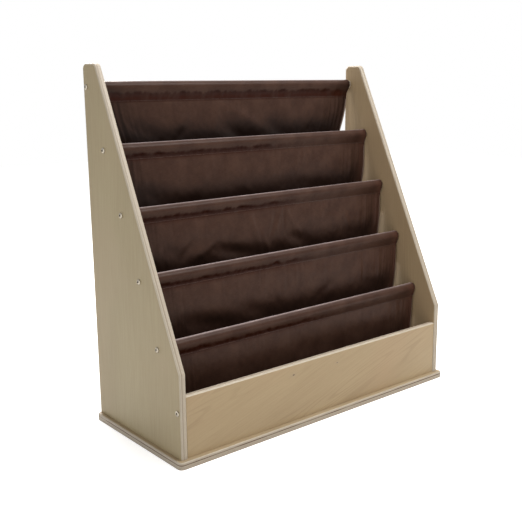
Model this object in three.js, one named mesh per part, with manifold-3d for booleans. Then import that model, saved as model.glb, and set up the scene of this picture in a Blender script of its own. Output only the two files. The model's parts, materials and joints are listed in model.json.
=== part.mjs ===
// A birch plywood bookshelf for children. Two sloping side panels stand on a base board, five rods
// run between them, and cloth slings hang from the rods as pockets for books. A low front panel
// closes a bin under the last sling.
//
// Millimetres. X runs across the bookshelf, Y to its back and Z up. The origin is on the floor
// under the middle of the base board.

import * as THREE from 'three';
import { mergeVertices } from 'three/addons/utils/BufferGeometryUtils.js';
import Module from 'manifold-3d';

const wasm = await Module();
wasm.setup();

// Fits
const fitGap = 0.3; // between two pieces that touch
const cutOverrun = 4; // how far a cutter runs past the face that it opens
const roundSides = 16; // sides of a rod, a shank or a small hole

// Boards, all cut from one sheet
const plyThickness = 18;
const arrisRadius = 5; // the rounded edges of the side panels and the front panel
const arrisSteps = 3;
const cornerSteps = 6;

// Side panels, measured above the base board and back from the panels' front edge
const panelSpan = 940; // over the outer faces
const panelDepth = 392;
const panelHeight = 918;
const panelTopDepth = 61;
const kneeHeight = 211; // where the upright front edge turns into the slope
const kneeRadius = 8;
const panelCornerRadius = 15;

// Base board
const sideOverhang = 12;
const frontOverhang = 12;
const baseCornerRadius = 12;
const baseArrisRadius = 4;

// Front panel
const frontHeight = 156;
const frontRecess = 3; // behind the side panels' front edges

// Rods, set out evenly along a line that follows the slope
const rodCount = 5;
const rodDiameter = 26;
const rodChamfer = 1;
const rodSetback = 65; // square to the slope
const rodRise = 75; // from the knee up to the lowest rod, along the slope
const rodTopMargin = 32.4; // from the highest rod to the slope's upper end
const lowerRodDiameter = 12;
const lowerRodHeight = 24; // above the base board
const lowerRodSeat = 9; // how far it enters each side panel

// Slings
const clothThickness = 1.2;
const clothSideGap = 1.5; // from the cloth's edge to the side panel
const casingDepth = 40; // from the top of a casing to its stitching
const topCasingDepth = 50;
const lowerCasingDepth = 26;
const turnedEnd = 10; // the cloth that is turned in past the stitching
const pocketDrop = 100; // from a pocket's front rod to the bottom of its fold
const casingSteps = 8;
const lowerCasingSteps = 5;
const legSteps = 10;
const acrossSteps = 18;
const halvingShare = 1e-14; // of its range, how closely a value is found by halving

// How the cloth draws in at its sides, and its soft folds
const topCasingDraw = 15;
const topLegDraw = 40;
const casingDraw = 2;
const legDraw = 26;
const drawRun = 150; // from a casing down to the full drawing in
const drawReturn = 80; // and from the full drawing in up to the next rod
const foldRun = 60; // from a line of stitching to a fold's full depth
const broadFold = { depth: 2.6, width: 236, slant: 410 };
const narrowFold = { depth: 1.3, width: 137, slant: -530 };
const foldPhaseShares = [0.1, 0.62, 0.34, 0.87, 0.5];

// Screws
const socketSides = 6;
const rodScrew = {
  headDiameter: 14, headHeight: 3.8, rimHeight: 1, domeSteps: 3, tipLength: 1,
  shankDiameter: 6, length: 58, socketWidth: 5, socketDepth: 2.4,
};
const frontScrew = {
  headDiameter: 14, headHeight: 2.4, rimHeight: 1.6, domeSteps: 1, tipLength: 1,
  shankDiameter: 6, length: 58, socketWidth: 6, socketDepth: 1.8,
};
const frontScrewHeight = 115; // above the base board
const baseScrew = { headDiameter: 9, shankDiameter: 4.5, length: 52, sink: 0.6, tipLength: 4 };
const baseScrewMargin = 46; // from a panel's ends to the first and last base screw
const baseScrewsPerBoard = 3;
const boreClearance = 3; // past a screw's tip

// Finishes
const birchPly = { color: 0xd3c09c, roughness: 0.5, metalness: 0 };
const birchDowel = { color: 0xd9c7a2, roughness: 0.55, metalness: 0 };
const brownCloth = { color: 0x4a382f, roughness: 0.9, metalness: 0 };
const brightSteel = { color: 0xc9c9c6, roughness: 0.3, metalness: 1 };
const zincPlate = { color: 0xb4b2aa, roughness: 0.4, metalness: 1 };

// Places that follow from the sizes above
const innerHalf = panelSpan / 2 - plyThickness;
const baseWidth = panelSpan + 2 * sideOverhang;
const baseDepth = panelDepth + frontOverhang;
const slopeLine = new THREE.Vector2(panelDepth - panelTopDepth, panelHeight - kneeHeight);
const slope = slopeLine.clone().normalize();
const slopeInward = new THREE.Vector2(slope.y, -slope.x);
const knee = new THREE.Vector2(0, kneeHeight);
const rodPitch = (slopeLine.length() - rodRise - rodTopMargin) / (rodCount - 1);
const frontMiddle = frontRecess + plyThickness / 2;
const layerPitch = clothThickness + fitGap; // between two layers that are sewn together

const X = new THREE.Vector3(1, 0, 0);
const Y = new THREE.Vector3(0, 1, 0);
const Z = new THREE.Vector3(0, 0, 1);

// The rods' middles as (Y, Z), from the highest to the lowest
const rods = Array.from({ length: rodCount }, (_, i) =>
  knee.clone()
    .addScaledVector(slope, rodRise + rodPitch * (rodCount - 1 - i))
    .addScaledVector(slopeInward, rodSetback));
const lowestRod = rods[rodCount - 1];
const lowerRod = new THREE.Vector2(lowestRod.x, lowerRodHeight);

// Solids

function toSolid(geometry) {
  const bare = geometry.clone();
  bare.deleteAttribute('normal');
  bare.deleteAttribute('uv');
  const merged = mergeVertices(bare.index ? bare.toNonIndexed() : bare);
  return new wasm.Manifold(new wasm.Mesh({
    numProp: 3,
    vertProperties: new Float32Array(merged.attributes.position.array),
    triVerts: new Uint32Array(merged.index.array),
  }));
}

function toGeometry(solid) {
  const mesh = solid.getMesh();
  const geometry = new THREE.BufferGeometry();
  geometry.setAttribute('position', new THREE.BufferAttribute(mesh.vertProperties, 3));
  geometry.setIndex(new THREE.BufferAttribute(mesh.triVerts, 1));
  geometry.computeVertexNormals();
  return geometry;
}

function cut(geometry, cutters) {
  const solid = cutters.reduce((rest, cutter) => rest.subtract(toSolid(cutter)), toSolid(geometry));
  return toGeometry(solid);
}

// A convex outline of [across, up, radius] corners, listed anticlockwise
function roundedShape(corners) {
  const shape = new THREE.Shape();
  corners.forEach(([across, up, radius], i) => {
    const here = new THREE.Vector2(across, up);
    const [before, after] = [-1, 1].map((step) => {
      const other = corners[(i + step + corners.length) % corners.length];
      return new THREE.Vector2(other[0], other[1]).sub(here).normalize();
    });
    const halfAngle = Math.acos(before.dot(after)) / 2;
    const middle = before.clone().add(after).normalize();
    const centre = here.clone().addScaledVector(middle, radius / Math.sin(halfAngle));
    const inset = radius / Math.tan(halfAngle);
    const start = here.clone().addScaledVector(before, inset).sub(centre);
    const end = here.clone().addScaledVector(after, inset).sub(centre);
    if (radius > 0) shape.absarc(centre.x, centre.y, radius, start.angle(), end.angle(), false);
    else if (i > 0) shape.lineTo(across, up);
    else shape.moveTo(across, up);
  });
  shape.closePath();
  return shape;
}

// A board with its outline's edges rounded on both faces
function roundedBoard(shape, thickness, radius) {
  return new THREE.ExtrudeGeometry(shape, {
    depth: thickness - 2 * radius,
    curveSegments: cornerSteps,
    bevelThickness: radius,
    bevelSize: radius,
    bevelOffset: -radius,
    bevelSegments: arrisSteps,
  }).translate(0, 0, radius);
}

// Turns what is drawn in (Y, Z) and pulled out along the third axis so that it runs along X
function alongX(geometry) {
  return geometry.applyMatrix4(new THREE.Matrix4().makeBasis(Y, Z, X));
}

function roundBar(diameter, start, end) {
  const bar = new THREE.CylinderGeometry(diameter / 2, diameter / 2, end - start, roundSides);
  return bar.rotateZ(-Math.PI / 2).translate((start + end) / 2, 0, 0);
}

function holeAlongX(diameter, start, end, at) {
  return roundBar(diameter, start, end).translate(0, at.x, at.y);
}

function lathe(points) {
  return new THREE.LatheGeometry(points.map(([r, h]) => new THREE.Vector2(r, h)), roundSides);
}

// Screws, with the face under the head at height 0 and the shank pointing down

function socketScrew(size) {
  const shank = size.shankDiameter / 2;
  const head = size.headDiameter / 2;
  const dome = Array.from({ length: size.domeSteps }, (_, i) => {
    const turn = (Math.PI / 2) * ((i + 1) / (size.domeSteps + 1));
    return [head * Math.cos(turn), size.rimHeight + (size.headHeight - size.rimHeight) * Math.sin(turn)];
  });
  const crown = lathe([
    [0, -size.length],
    [shank - size.tipLength, -size.length],
    [shank, size.tipLength - size.length],
    [shank, 0],
    [head, 0],
    [head, size.rimHeight],
    ...dome,
    [0, size.headHeight],
  ]);
  const socketRadius = size.socketWidth / 2 / Math.cos(Math.PI / socketSides);
  const socketRun = size.socketDepth + cutOverrun;
  const socket = new THREE.CylinderGeometry(socketRadius, socketRadius, socketRun, socketSides);
  socket.translate(0, size.headHeight - size.socketDepth + socketRun / 2, 0);
  return cut(crown, [socket]);
}

// The base screws' heads are cones let into the underside
function countersunkScrew(size) {
  const shank = size.shankDiameter / 2;
  const head = size.headDiameter / 2;
  return lathe([
    [0, -size.length],
    [shank, size.tipLength - size.length],
    [shank, shank - head],
    [head, 0],
    [0, 0],
  ]);
}

function countersunkHole(size, depth) {
  const shank = size.shankDiameter / 2 + fitGap;
  const head = size.headDiameter / 2 + fitGap;
  return lathe([
    [0, -depth],
    [shank, -depth],
    [shank, shank - head],
    [head, 0],
    [head, cutOverrun],
    [0, cutOverrun],
  ]);
}

// Where the base screws stand, as (X, Y) in the frame of the panels

function spread(count, from, to) {
  return Array.from({ length: count }, (_, i) => from + ((to - from) * i) / (count - 1));
}

const panelMiddle = (panelSpan - plyThickness) / 2;
const panelScrewDepths = spread(baseScrewsPerBoard, baseScrewMargin, panelDepth - baseScrewMargin);
const frontScrewReach = innerHalf - baseScrewMargin;
const frontScrewPlaces = spread(baseScrewsPerBoard, -frontScrewReach, frontScrewReach);
const baseScrewPlaces = {
  left: panelScrewDepths.map((y) => new THREE.Vector2(-panelMiddle, y)),
  right: panelScrewDepths.map((y) => new THREE.Vector2(panelMiddle, y)),
  front: frontScrewPlaces.map((x) => new THREE.Vector2(x, frontMiddle)),
};
const baseScrewSeat = baseScrew.sink - plyThickness; // the heads' flat ends, from the base board's top
const baseBoreTop = baseScrewSeat + baseScrew.length + boreClearance;

function baseScrewBores(places) {
  const diameter = baseScrew.shankDiameter + 2 * fitGap;
  return places.map((place) =>
    roundBar(diameter, -cutOverrun, baseBoreTop).rotateY(-Math.PI / 2).translate(place.x, place.y, 0));
}

// Boards

function baseBoard() {
  const [halfWidth, front, back] = [baseWidth / 2, -frontOverhang, panelDepth];
  const outline = roundedShape([
    [-halfWidth, front, baseCornerRadius],
    [halfWidth, front, baseCornerRadius],
    [halfWidth, back, baseCornerRadius],
    [-halfWidth, back, baseCornerRadius],
  ]);
  // Only the upper edge is rounded, so the lower rounding is cut off again.
  const tall = plyThickness + baseArrisRadius;
  const board = roundedBoard(outline, tall, baseArrisRadius).translate(0, 0, -tall);
  const under = new THREE.BoxGeometry(
    baseWidth + 2 * cutOverrun, baseDepth + 2 * cutOverrun, baseArrisRadius + cutOverrun);
  under.translate(0, (front + back) / 2, -plyThickness - (baseArrisRadius + cutOverrun) / 2);
  const holes = Object.values(baseScrewPlaces).flat().map((place) =>
    countersunkHole(baseScrew, plyThickness + cutOverrun)
      .rotateX(-Math.PI / 2)
      .translate(place.x, place.y, baseScrewSeat));
  return cut(board, [under, ...holes]);
}

// side is -1 for the left panel and 1 for the right one; the panel's middle is at X = 0
function sidePanel(side, screwPlaces) {
  const below = fitGap - arrisRadius;
  const outline = roundedShape([
    [0, below, 0],
    [panelDepth, below, 0],
    [panelDepth, panelHeight, panelCornerRadius],
    [panelDepth - panelTopDepth, panelHeight, panelCornerRadius],
    [0, kneeHeight, kneeRadius],
  ]);
  const half = plyThickness / 2;
  const board = alongX(roundedBoard(outline, plyThickness, arrisRadius)).translate(-half, 0, 0);
  // The foot stands flat and square on the base board.
  const trim = arrisRadius + cutOverrun;
  const under = new THREE.BoxGeometry(plyThickness + 2 * cutOverrun, panelDepth + 2 * cutOverrun, trim);
  under.translate(0, panelDepth / 2, fitGap - trim / 2);
  const past = half + cutOverrun;
  const screwHole = (screw, at) => holeAlongX(screw.shankDiameter + 2 * fitGap, -past, past, at);
  const rodHoles = rods.map((rod) => screwHole(rodScrew, rod));
  const frontHole = screwHole(frontScrew, new THREE.Vector2(frontMiddle, frontScrewHeight));
  // The lower rod's seat is blind, so nothing shows outside.
  const seatFloor = half - lowerRodSeat;
  const [seatStart, seatEnd] = side < 0 ? [seatFloor, past] : [-past, -seatFloor];
  const seat = holeAlongX(lowerRodDiameter + 2 * fitGap, seatStart, seatEnd, lowerRod);
  const bores = baseScrewBores(screwPlaces.map((place) => new THREE.Vector2(0, place.y)));
  return cut(board, [under, ...rodHoles, frontHole, seat, ...bores]);
}

function frontPanel() {
  const [front, back] = [frontRecess, frontRecess + plyThickness];
  const section = roundedShape([
    [front, fitGap, 0],
    [back, fitGap, 0],
    [back, frontHeight, arrisRadius],
    [front, frontHeight, arrisRadius],
  ]);
  const half = innerHalf - fitGap;
  const board = alongX(new THREE.ExtrudeGeometry(section, {
    depth: 2 * half, curveSegments: arrisSteps, bevelEnabled: false,
  })).translate(-half, 0, 0);
  const boreDepth = frontScrew.length - plyThickness + boreClearance;
  const middle = new THREE.Vector2(frontMiddle, frontScrewHeight);
  const diameter = frontScrew.shankDiameter + 2 * fitGap;
  const bores = [
    holeAlongX(diameter, -half - cutOverrun, boreDepth - innerHalf, middle),
    holeAlongX(diameter, innerHalf - boreDepth, half + cutOverrun, middle),
  ];
  return cut(board, [...bores, ...baseScrewBores(baseScrewPlaces.front)]);
}

// A rod with a bore in each end for its screws
function rodBar() {
  const [radius, end] = [rodDiameter / 2, innerHalf - fitGap];
  const bore = rodScrew.shankDiameter / 2 + fitGap;
  const boreFloor = innerHalf - (rodScrew.length - plyThickness) - boreClearance;
  return lathe([
    [0, -boreFloor],
    [bore, -boreFloor],
    [bore, -end],
    [radius - rodChamfer, -end],
    [radius, rodChamfer - end],
    [radius, end - rodChamfer],
    [radius - rodChamfer, end],
    [bore, end],
    [bore, boreFloor],
    [0, boreFloor],
  ]).rotateZ(-Math.PI / 2);
}

// Slings

// The middle of the cloth round one rod as (Y, Z) points: the turned end, up the back of the rod,
// over it and down to the stitching. A casing that hangs below its rod has up = 1; the one that
// stands on the lower rod has up = -1.
function casingPath(rod, diameter, depth, steps, up) {
  const turn = Math.asin(diameter / 2 / depth);
  const step = (Math.PI + 2 * turn) / steps;
  const radius = (diameter / 2 + fitGap + clothThickness / 2) / Math.cos(step / 2);
  const stitch = rod.y - up * depth;
  const points = [new THREE.Vector2(rod.x, stitch - up * turnedEnd), new THREE.Vector2(rod.x, stitch)];
  for (let i = 0; i <= steps; i += 1) {
    const angle = i * step - turn;
    points.push(new THREE.Vector2(
      rod.x + radius * Math.cos(angle), rod.y + up * radius * Math.sin(angle)));
  }
  points.push(new THREE.Vector2(rod.x - layerPitch, stitch));
  return points;
}

// The value between low and high up to which isBelow holds
function halve(low, high, isBelow) {
  let [below, above] = [low, high];
  while (above - below > (high - low) * halvingShare) {
    const middle = (below + above) / 2;
    if (isBelow(middle)) below = middle;
    else above = middle;
  }
  return (below + above) / 2;
}

// Cloth that hangs slack between two points follows a catenary.
function hangingPath(start, end, bottom) {
  const [span, startDrop, endDrop] = [start.x - end.x, start.y - bottom, end.y - bottom];
  const reach = (size, drop) => size * Math.acosh(1 + drop / size);
  const size = halve(0, span, (tried) => reach(tried, startDrop) + reach(tried, endDrop) < span);
  const [left, right] = [-reach(size, startDrop), reach(size, endDrop)];
  const run = (x) => size * Math.sinh(x / size);
  // Rows are spaced half by run and half by span, so the bend at the bottom is smooth.
  const share = (x) => ((x - left) / span + (run(x) - run(left)) / (run(right) - run(left))) / 2;
  return Array.from({ length: legSteps + 1 }, (_, i) => {
    const x = halve(left, right, (tried) => share(tried) < i / legSteps);
    return new THREE.Vector2(start.x - (x - left), bottom + size * (Math.cosh(x / size) - 1));
  });
}

function straightPath(start, end) {
  return Array.from({ length: legSteps + 1 }, (_, i) => start.clone().lerp(end, i / legSteps));
}

function smooth(share) {
  const held = THREE.MathUtils.clamp(share, 0, 1);
  return held * held * (3 - 2 * held);
}

function fold(size, x, run, phase) {
  return size.depth * Math.sin(2 * Math.PI * (x / size.width + run / size.slant + phase));
}

// A closed sheet of cloth along a path of (Y, Z) points. rows gives, for each point, how far the
// sides are drawn in and how slack the cloth is there.
function clothSheet(path, rows, phase) {
  const halfWidth = innerHalf - clothSideGap;
  const runs = [0];
  for (let i = 1; i < path.length; i += 1) runs.push(runs[i - 1] + path[i].distanceTo(path[i - 1]));
  const positions = [];
  for (let i = 0; i < path.length; i += 1) {
    const before = path[i].clone().sub(path[Math.max(i - 1, 0)]).normalize();
    const after = path[Math.min(i + 1, path.length - 1)].clone().sub(path[i]).normalize();
    const along = before.clone().add(after).normalize();
    const outward = new THREE.Vector2(along.y, -along.x);
    const bend = Math.max(along.dot(before), along.dot(after));
    for (let j = 0; j <= acrossSteps; j += 1) {
      const x = (halfWidth - rows[i].draw) * ((2 * j) / acrossSteps - 1);
      const waves = fold(broadFold, x, runs[i], phase) + fold(narrowFold, x, runs[i], -phase);
      for (const face of [1, -1]) {
        const off = rows[i].slack * waves + (face * clothThickness) / 2 / bend;
        positions.push(x, path[i].x + outward.x * off, path[i].y + outward.y * off);
      }
    }
  }
  const corner = (i, j, face) => 2 * (i * (acrossSteps + 1) + j) + face;
  const index = [];
  const quad = (a, b, c, d) => index.push(a, b, c, a, c, d);
  for (let i = 0; i < path.length - 1; i += 1) {
    for (let j = 0; j < acrossSteps; j += 1) {
      quad(corner(i, j, 0), corner(i + 1, j, 0), corner(i + 1, j + 1, 0), corner(i, j + 1, 0));
      quad(corner(i, j, 1), corner(i, j + 1, 1), corner(i + 1, j + 1, 1), corner(i + 1, j, 1));
    }
    quad(corner(i, 0, 1), corner(i + 1, 0, 1), corner(i + 1, 0, 0), corner(i, 0, 0));
    quad(corner(i, acrossSteps, 0), corner(i + 1, acrossSteps, 0),
      corner(i + 1, acrossSteps, 1), corner(i, acrossSteps, 1));
  }
  const last = path.length - 1;
  for (let j = 0; j < acrossSteps; j += 1) {
    quad(corner(0, j, 1), corner(0, j, 0), corner(0, j + 1, 0), corner(0, j + 1, 1));
    quad(corner(last, j, 0), corner(last, j, 1), corner(last, j + 1, 1), corner(last, j + 1, 0));
  }
  const geometry = new THREE.BufferGeometry();
  geometry.setAttribute('position', new THREE.Float32BufferAttribute(positions, 3));
  geometry.setIndex(index);
  geometry.computeVertexNormals();
  return geometry;
}

function stitchDepth(number) {
  return (number === 0 ? topCasingDepth : casingDepth) - rodDiameter / 2 - clothThickness;
}

// The sling that hangs from rod number and, but for the last, comes up again behind the next rod
function sling(number) {
  const rod = rods[number];
  const casing = casingPath(rod, rodDiameter, stitchDepth(number), casingSteps, 1);
  const start = casing[casing.length - 1];
  const isLast = number === rodCount - 1;
  let hanging;
  let tail = [];
  if (isLast) {
    tail = casingPath(lowerRod, lowerRodDiameter, lowerCasingDepth, lowerCasingSteps, -1).reverse();
    hanging = straightPath(start, tail[0]);
  } else {
    const next = rods[number + 1];
    const end = new THREE.Vector2(
      next.x + layerPitch, next.y - stitchDepth(number + 1) - clothThickness);
    hanging = hangingPath(start, end, next.y - pocketDrop);
  }
  const isTop = number === 0;
  const [atCasing, atLeg] = isTop ? [topCasingDraw, topLegDraw] : [casingDraw, legDraw];
  const casingDrop = rod.y - start.y;
  const casingRows = casing.map((point) => ({
    draw: atCasing * smooth((rod.y - point.y) / casingDrop), slack: 0,
  }));
  const runDown = [0];
  hanging.slice(1).forEach((point, i) => runDown.push(runDown[i] + point.distanceTo(hanging[i])));
  const total = runDown[runDown.length - 1];
  const hangingRows = runDown.map((run) => ({
    draw: atCasing * smooth((total - run) / drawReturn)
      + (atLeg - atCasing) * smooth(Math.min(run / drawRun, (total - run) / drawReturn)),
    slack: smooth(Math.min(run, total - run) / foldRun),
  }));
  const tailRows = tail.slice(1).map(() => ({ draw: 0, slack: 0 }));
  return clothSheet(
    [...casing, ...hanging.slice(1), ...tail.slice(1)],
    [...casingRows, ...hangingRows.slice(1), ...tailRows],
    foldPhaseShares[number]);
}

// Assembly

const bookshelf = new THREE.Group();
const onBase = new THREE.Group(); // from the panels' front edge and the base board's top
onBase.position.set(0, frontOverhang - baseDepth / 2, plyThickness);
bookshelf.add(onBase);

function add(name, geometry, finish, [x, y, z] = [0, 0, 0]) {
  const mesh = new THREE.Mesh(geometry, new THREE.MeshStandardMaterial(finish));
  mesh.name = name;
  mesh.position.set(x, y, z);
  onBase.add(mesh);
  return mesh;
}

add('base_board', baseBoard(), birchPly);
add('side_panel_left', sidePanel(-1, baseScrewPlaces.left), birchPly, [-panelMiddle, 0, 0]);
add('side_panel_right', sidePanel(1, baseScrewPlaces.right), birchPly, [panelMiddle, 0, 0]);
add('front_panel', frontPanel(), birchPly);

rods.forEach((rod, i) => add(`rod_${i + 1}`, rodBar(), birchDowel, [0, rod.x, rod.y]));
const lowerRodEnd = innerHalf + lowerRodSeat - fitGap;
const lowerRodBar = roundBar(lowerRodDiameter, -lowerRodEnd, lowerRodEnd);
add('lower_rod', lowerRodBar, birchDowel, [0, lowerRod.x, lowerRod.y]);

rods.forEach((_, i) => add(`sling_${i + 1}`, sling(i), brownCloth));

for (const [side, name] of [[-1, 'left'], [1, 'right']]) {
  const addSocketScrew = (screwName, size, at) => {
    const place = [side * (panelSpan / 2 + fitGap), at.x, at.y];
    const screw = add(screwName, socketScrew(size), brightSteel, place);
    screw.rotation.z = (-side * Math.PI) / 2;
  };
  rods.forEach((rod, i) => addSocketScrew(`rod_screw_${name}_${i + 1}`, rodScrew, rod));
  addSocketScrew(`front_screw_${name}`, frontScrew, new THREE.Vector2(frontMiddle, frontScrewHeight));
}

for (const [board, places] of Object.entries(baseScrewPlaces)) {
  places.forEach((place, i) => {
    const name = `base_screw_${board}_${i + 1}`;
    const screw = add(name, countersunkScrew(baseScrew), zincPlate, [place.x, place.y, baseScrewSeat]);
    screw.rotation.x = -Math.PI / 2;
  });
}

export default bookshelf;
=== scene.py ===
# The looks of a birch plywood sling bookshelf: lacquered boards, five sewn cloth slings, bright
# screws, and a plain white studio. Lengths are in metres, and X runs across, Y back and Z up.
import json
import math

import bpy
import numpy as np
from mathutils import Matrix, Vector, noise

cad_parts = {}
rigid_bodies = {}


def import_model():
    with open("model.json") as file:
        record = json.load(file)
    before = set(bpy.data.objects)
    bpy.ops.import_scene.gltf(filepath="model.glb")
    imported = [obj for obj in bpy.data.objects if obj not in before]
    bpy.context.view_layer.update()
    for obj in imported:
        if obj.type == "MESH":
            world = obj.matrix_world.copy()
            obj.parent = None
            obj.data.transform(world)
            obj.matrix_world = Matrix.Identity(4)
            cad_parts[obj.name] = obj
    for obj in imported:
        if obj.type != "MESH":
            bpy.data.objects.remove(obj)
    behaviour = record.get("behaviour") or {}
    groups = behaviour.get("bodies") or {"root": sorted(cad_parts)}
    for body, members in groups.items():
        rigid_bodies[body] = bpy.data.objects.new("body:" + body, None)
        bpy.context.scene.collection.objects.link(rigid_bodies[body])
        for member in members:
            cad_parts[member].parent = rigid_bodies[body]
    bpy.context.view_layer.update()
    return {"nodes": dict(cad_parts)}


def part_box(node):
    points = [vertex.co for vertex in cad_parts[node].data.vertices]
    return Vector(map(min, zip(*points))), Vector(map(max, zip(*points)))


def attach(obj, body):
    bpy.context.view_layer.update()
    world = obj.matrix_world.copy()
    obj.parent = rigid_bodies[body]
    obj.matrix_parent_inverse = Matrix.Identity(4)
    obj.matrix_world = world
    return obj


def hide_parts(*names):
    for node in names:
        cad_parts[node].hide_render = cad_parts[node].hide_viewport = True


for leftover in list(bpy.data.objects):
    bpy.data.objects.remove(leftover)
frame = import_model()
mm = 0.001
print("frame loaded:", len(frame["nodes"]), "nodes")


def addObject(name, data):
    made = bpy.data.objects.new(name, data)
    bpy.context.collection.objects.link(made)
    return made


# Camera, at the photograph's viewing angle

view = {
    "place": (-1.4405, -1.6675, 0.8834),
    "turn": -39.46,  # degrees about Z
    "tilt": 12.36,  # degrees down
    "roll": -0.49,
    "lens": 55.79,  # millimetres
    "sensor": 36,
}


def placeCamera():
    lens = bpy.data.cameras.new("camera")
    lens.sensor_width = view["sensor"]
    lens.lens = view["lens"]
    camera = addObject("camera", lens)
    camera.location = view["place"]
    camera.rotation_euler = (math.radians(90 - view["tilt"]), 0, math.radians(view["turn"]))
    camera.rotation_euler.rotate_axis("Z", math.radians(view["roll"]))
    bpy.context.scene.camera = camera


placeCamera()


# Shader nodes

def startMaterial(name):
    material = bpy.data.materials.new(name)
    material.use_nodes = True
    return material, material.node_tree, material.node_tree.nodes["Principled BSDF"]


# A value that is a socket is linked, and any other is set.
def setInputs(tree, node, values):
    for name, value in values.items():
        if isinstance(value, bpy.types.NodeSocket):
            tree.links.new(value, node.inputs[name])
        else:
            node.inputs[name].default_value = value


# Adds a node and gives back its first output
def addNode(tree, kind, values, **options):
    made = tree.nodes.new(kind)
    for option, value in options.items():
        setattr(made, option, value)
    setInputs(tree, made, values)
    return made.outputs[0]


def coordinate(tree, name):
    return tree.nodes.new("ShaderNodeTexCoord").outputs[name]


def separate(tree, vector):
    return addNode(tree, "ShaderNodeSeparateXYZ", {0: vector}).node.outputs


def calculate(tree, operation, first, second=0.0, third=0.0):
    values = {0: first, 1: second, 2: third}
    return addNode(tree, "ShaderNodeMath", values, operation=operation)


def times(tree, first, second):
    return calculate(tree, "MULTIPLY", first, second)


def plus(tree, first, second):
    return calculate(tree, "ADD", first, second)


def ramp(tree, value, low, high, fromValue=0.0, toValue=1.0, shape="SMOOTHSTEP"):
    values = {"Value": value, "From Min": low, "From Max": high, "To Min": fromValue, "To Max": toValue}
    return addNode(tree, "ShaderNodeMapRange", values, interpolation_type=shape)


def mixColours(tree, share, first, second):
    mixed = tree.nodes.new("ShaderNodeMix")
    mixed.data_type = "RGBA"
    setInputs(tree, mixed, {0: share, 6: first, 7: second})
    return mixed.outputs[2]


def grainNoise(tree, point, stretch, detail=2.0, roughness=0.5, distortion=0.0):
    scaled = addNode(tree, "ShaderNodeVectorMath", {0: point, 1: stretch}, operation="MULTIPLY")
    return addNode(tree, "ShaderNodeTexNoise", {
        "Vector": scaled, "Scale": 1.0, "Detail": detail, "Roughness": roughness, "Distortion": distortion})


def distanceOf(tree, vector):
    return addNode(tree, "ShaderNodeVectorMath", {0: vector}, operation="LENGTH").node.outputs["Value"]


# 1 where nothing stands within reach of the surface, and near 0 deep in a hollow
def openness(tree, reach):
    return addNode(tree, "ShaderNodeAmbientOcclusion", {"Distance": reach}).node.outputs["AO"]


def bumpFrom(tree, height, distance, strength=1.0):
    return addNode(tree, "ShaderNodeBump", {"Height": height, "Distance": distance, "Strength": strength})


# A display colour, each part from 0 to 255, as a shader wants it
def colour(red, green, blue):
    linear = [c / 12.92 if c <= 0.04045 else ((c + 0.055) / 1.055) ** 2.4
              for c in (red / 255, green / 255, blue / 255)]
    return (*linear, 1.0)


# Birch plywood

birch = {
    "plyLight": colour(196, 185, 167),
    "plyDark": colour(154, 140, 122),
    "glue": colour(82, 54, 34),
    "knot": colour(66, 40, 24),
    "layers": 13,
    # stretches of the noises along the grain, across it and from face to face
    "flame": (1.1, 9.5, 1.0),
    "flameFade": (3.1, 9.0, 2.0),
    "streaks": (9.0, 330.0, 3.0),
    "pores": (75.0, 1500.0, 4.0),
    "clouds": (2.1, 6.5, 5.0),
    "warmPatches": (2.6, 4.1, 7.0),
    "knotStretch": (0.55, 1.0, 1.0),
    "faceStep": 5.0,  # between the two faces of a board
    # how far each takes a face to its darker or warmer tone
    "flameShade": 0.42,
    "streakShade": 0.4,
    "poreShade": 0.3,
    "cloudShade": 0.34,
    "warmShade": 0.5,
    # stretches of the noises on the edges, and how far each darkens them
    "fibres": (700.0, 700.0, 700.0),
    "darkPatches": (9.0, 9.0, 1.0),
    "highlightPatches": (28.0, 28.0, 28.0),
    "crossPlyShade": 0.35,
    "layerShade": 0.3,
    "fibreShade": 0.3,
    "glueShade": 0.45,
    # the lacquer
    "roughness": 0.46,
    "glossSpread": 0.16,
    "reliefDepth": 0.12 * mm,
    "finish": {"Specular IOR Level": 0.35},
}

# through is the axis of a board's thickness, and along the axis of its face grain. darkPly is the share
# of the thickness at which the darkest layer shows. Knots are places on the face, with a radius.
# A board may have a painted contact shadow along its foot
plainBoard = {"rings": 96.0, "plyLine": 0.45, "edgeShade": 0.0, "paintedFootShade": 0.0, "knots": []}
boards = {
    "side_panel_left": {
        "through": 0, "along": 2, "tilt": 0.02, "seed": 3.1, "darkPly": 0.36, "figure": 0.35,
        "light": colour(161, 147, 114), "dark": colour(145, 129, 98), "warm": colour(160, 142, 112)},
    "side_panel_right": {
        "through": 0, "along": 2, "tilt": -0.03, "seed": 8.7, "darkPly": 0.58, "figure": 0.6,
        "light": colour(167, 145, 113), "dark": colour(145, 122, 91), "warm": colour(159, 135, 105)},
    "front_panel": {
        "through": 1, "along": 0, "tilt": -0.3, "seed": 5.4, "darkPly": 0.52, "figure": 1.1,
        "rings": 170.0, "plyLine": 0.8,
        "light": colour(172, 151, 118), "dark": colour(154, 132, 101), "warm": colour(170, 144, 112),
        "knots": [((-0.115, -0.187, 0.145), 3.0 * mm), ((0.043, -0.187, 0.142), 1.9 * mm)]},
    "base_board": {
        "through": 2, "along": 0, "tilt": 0.01, "seed": 1.6, "darkPly": 0.63, "figure": 0.6,
        "plyLine": 1.0, "edgeShade": 0.05, "paintedFootShade": 0.7,
        "light": colour(172, 153, 124), "dark": colour(154, 134, 105), "warm": colour(168, 146, 116)},
}


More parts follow.
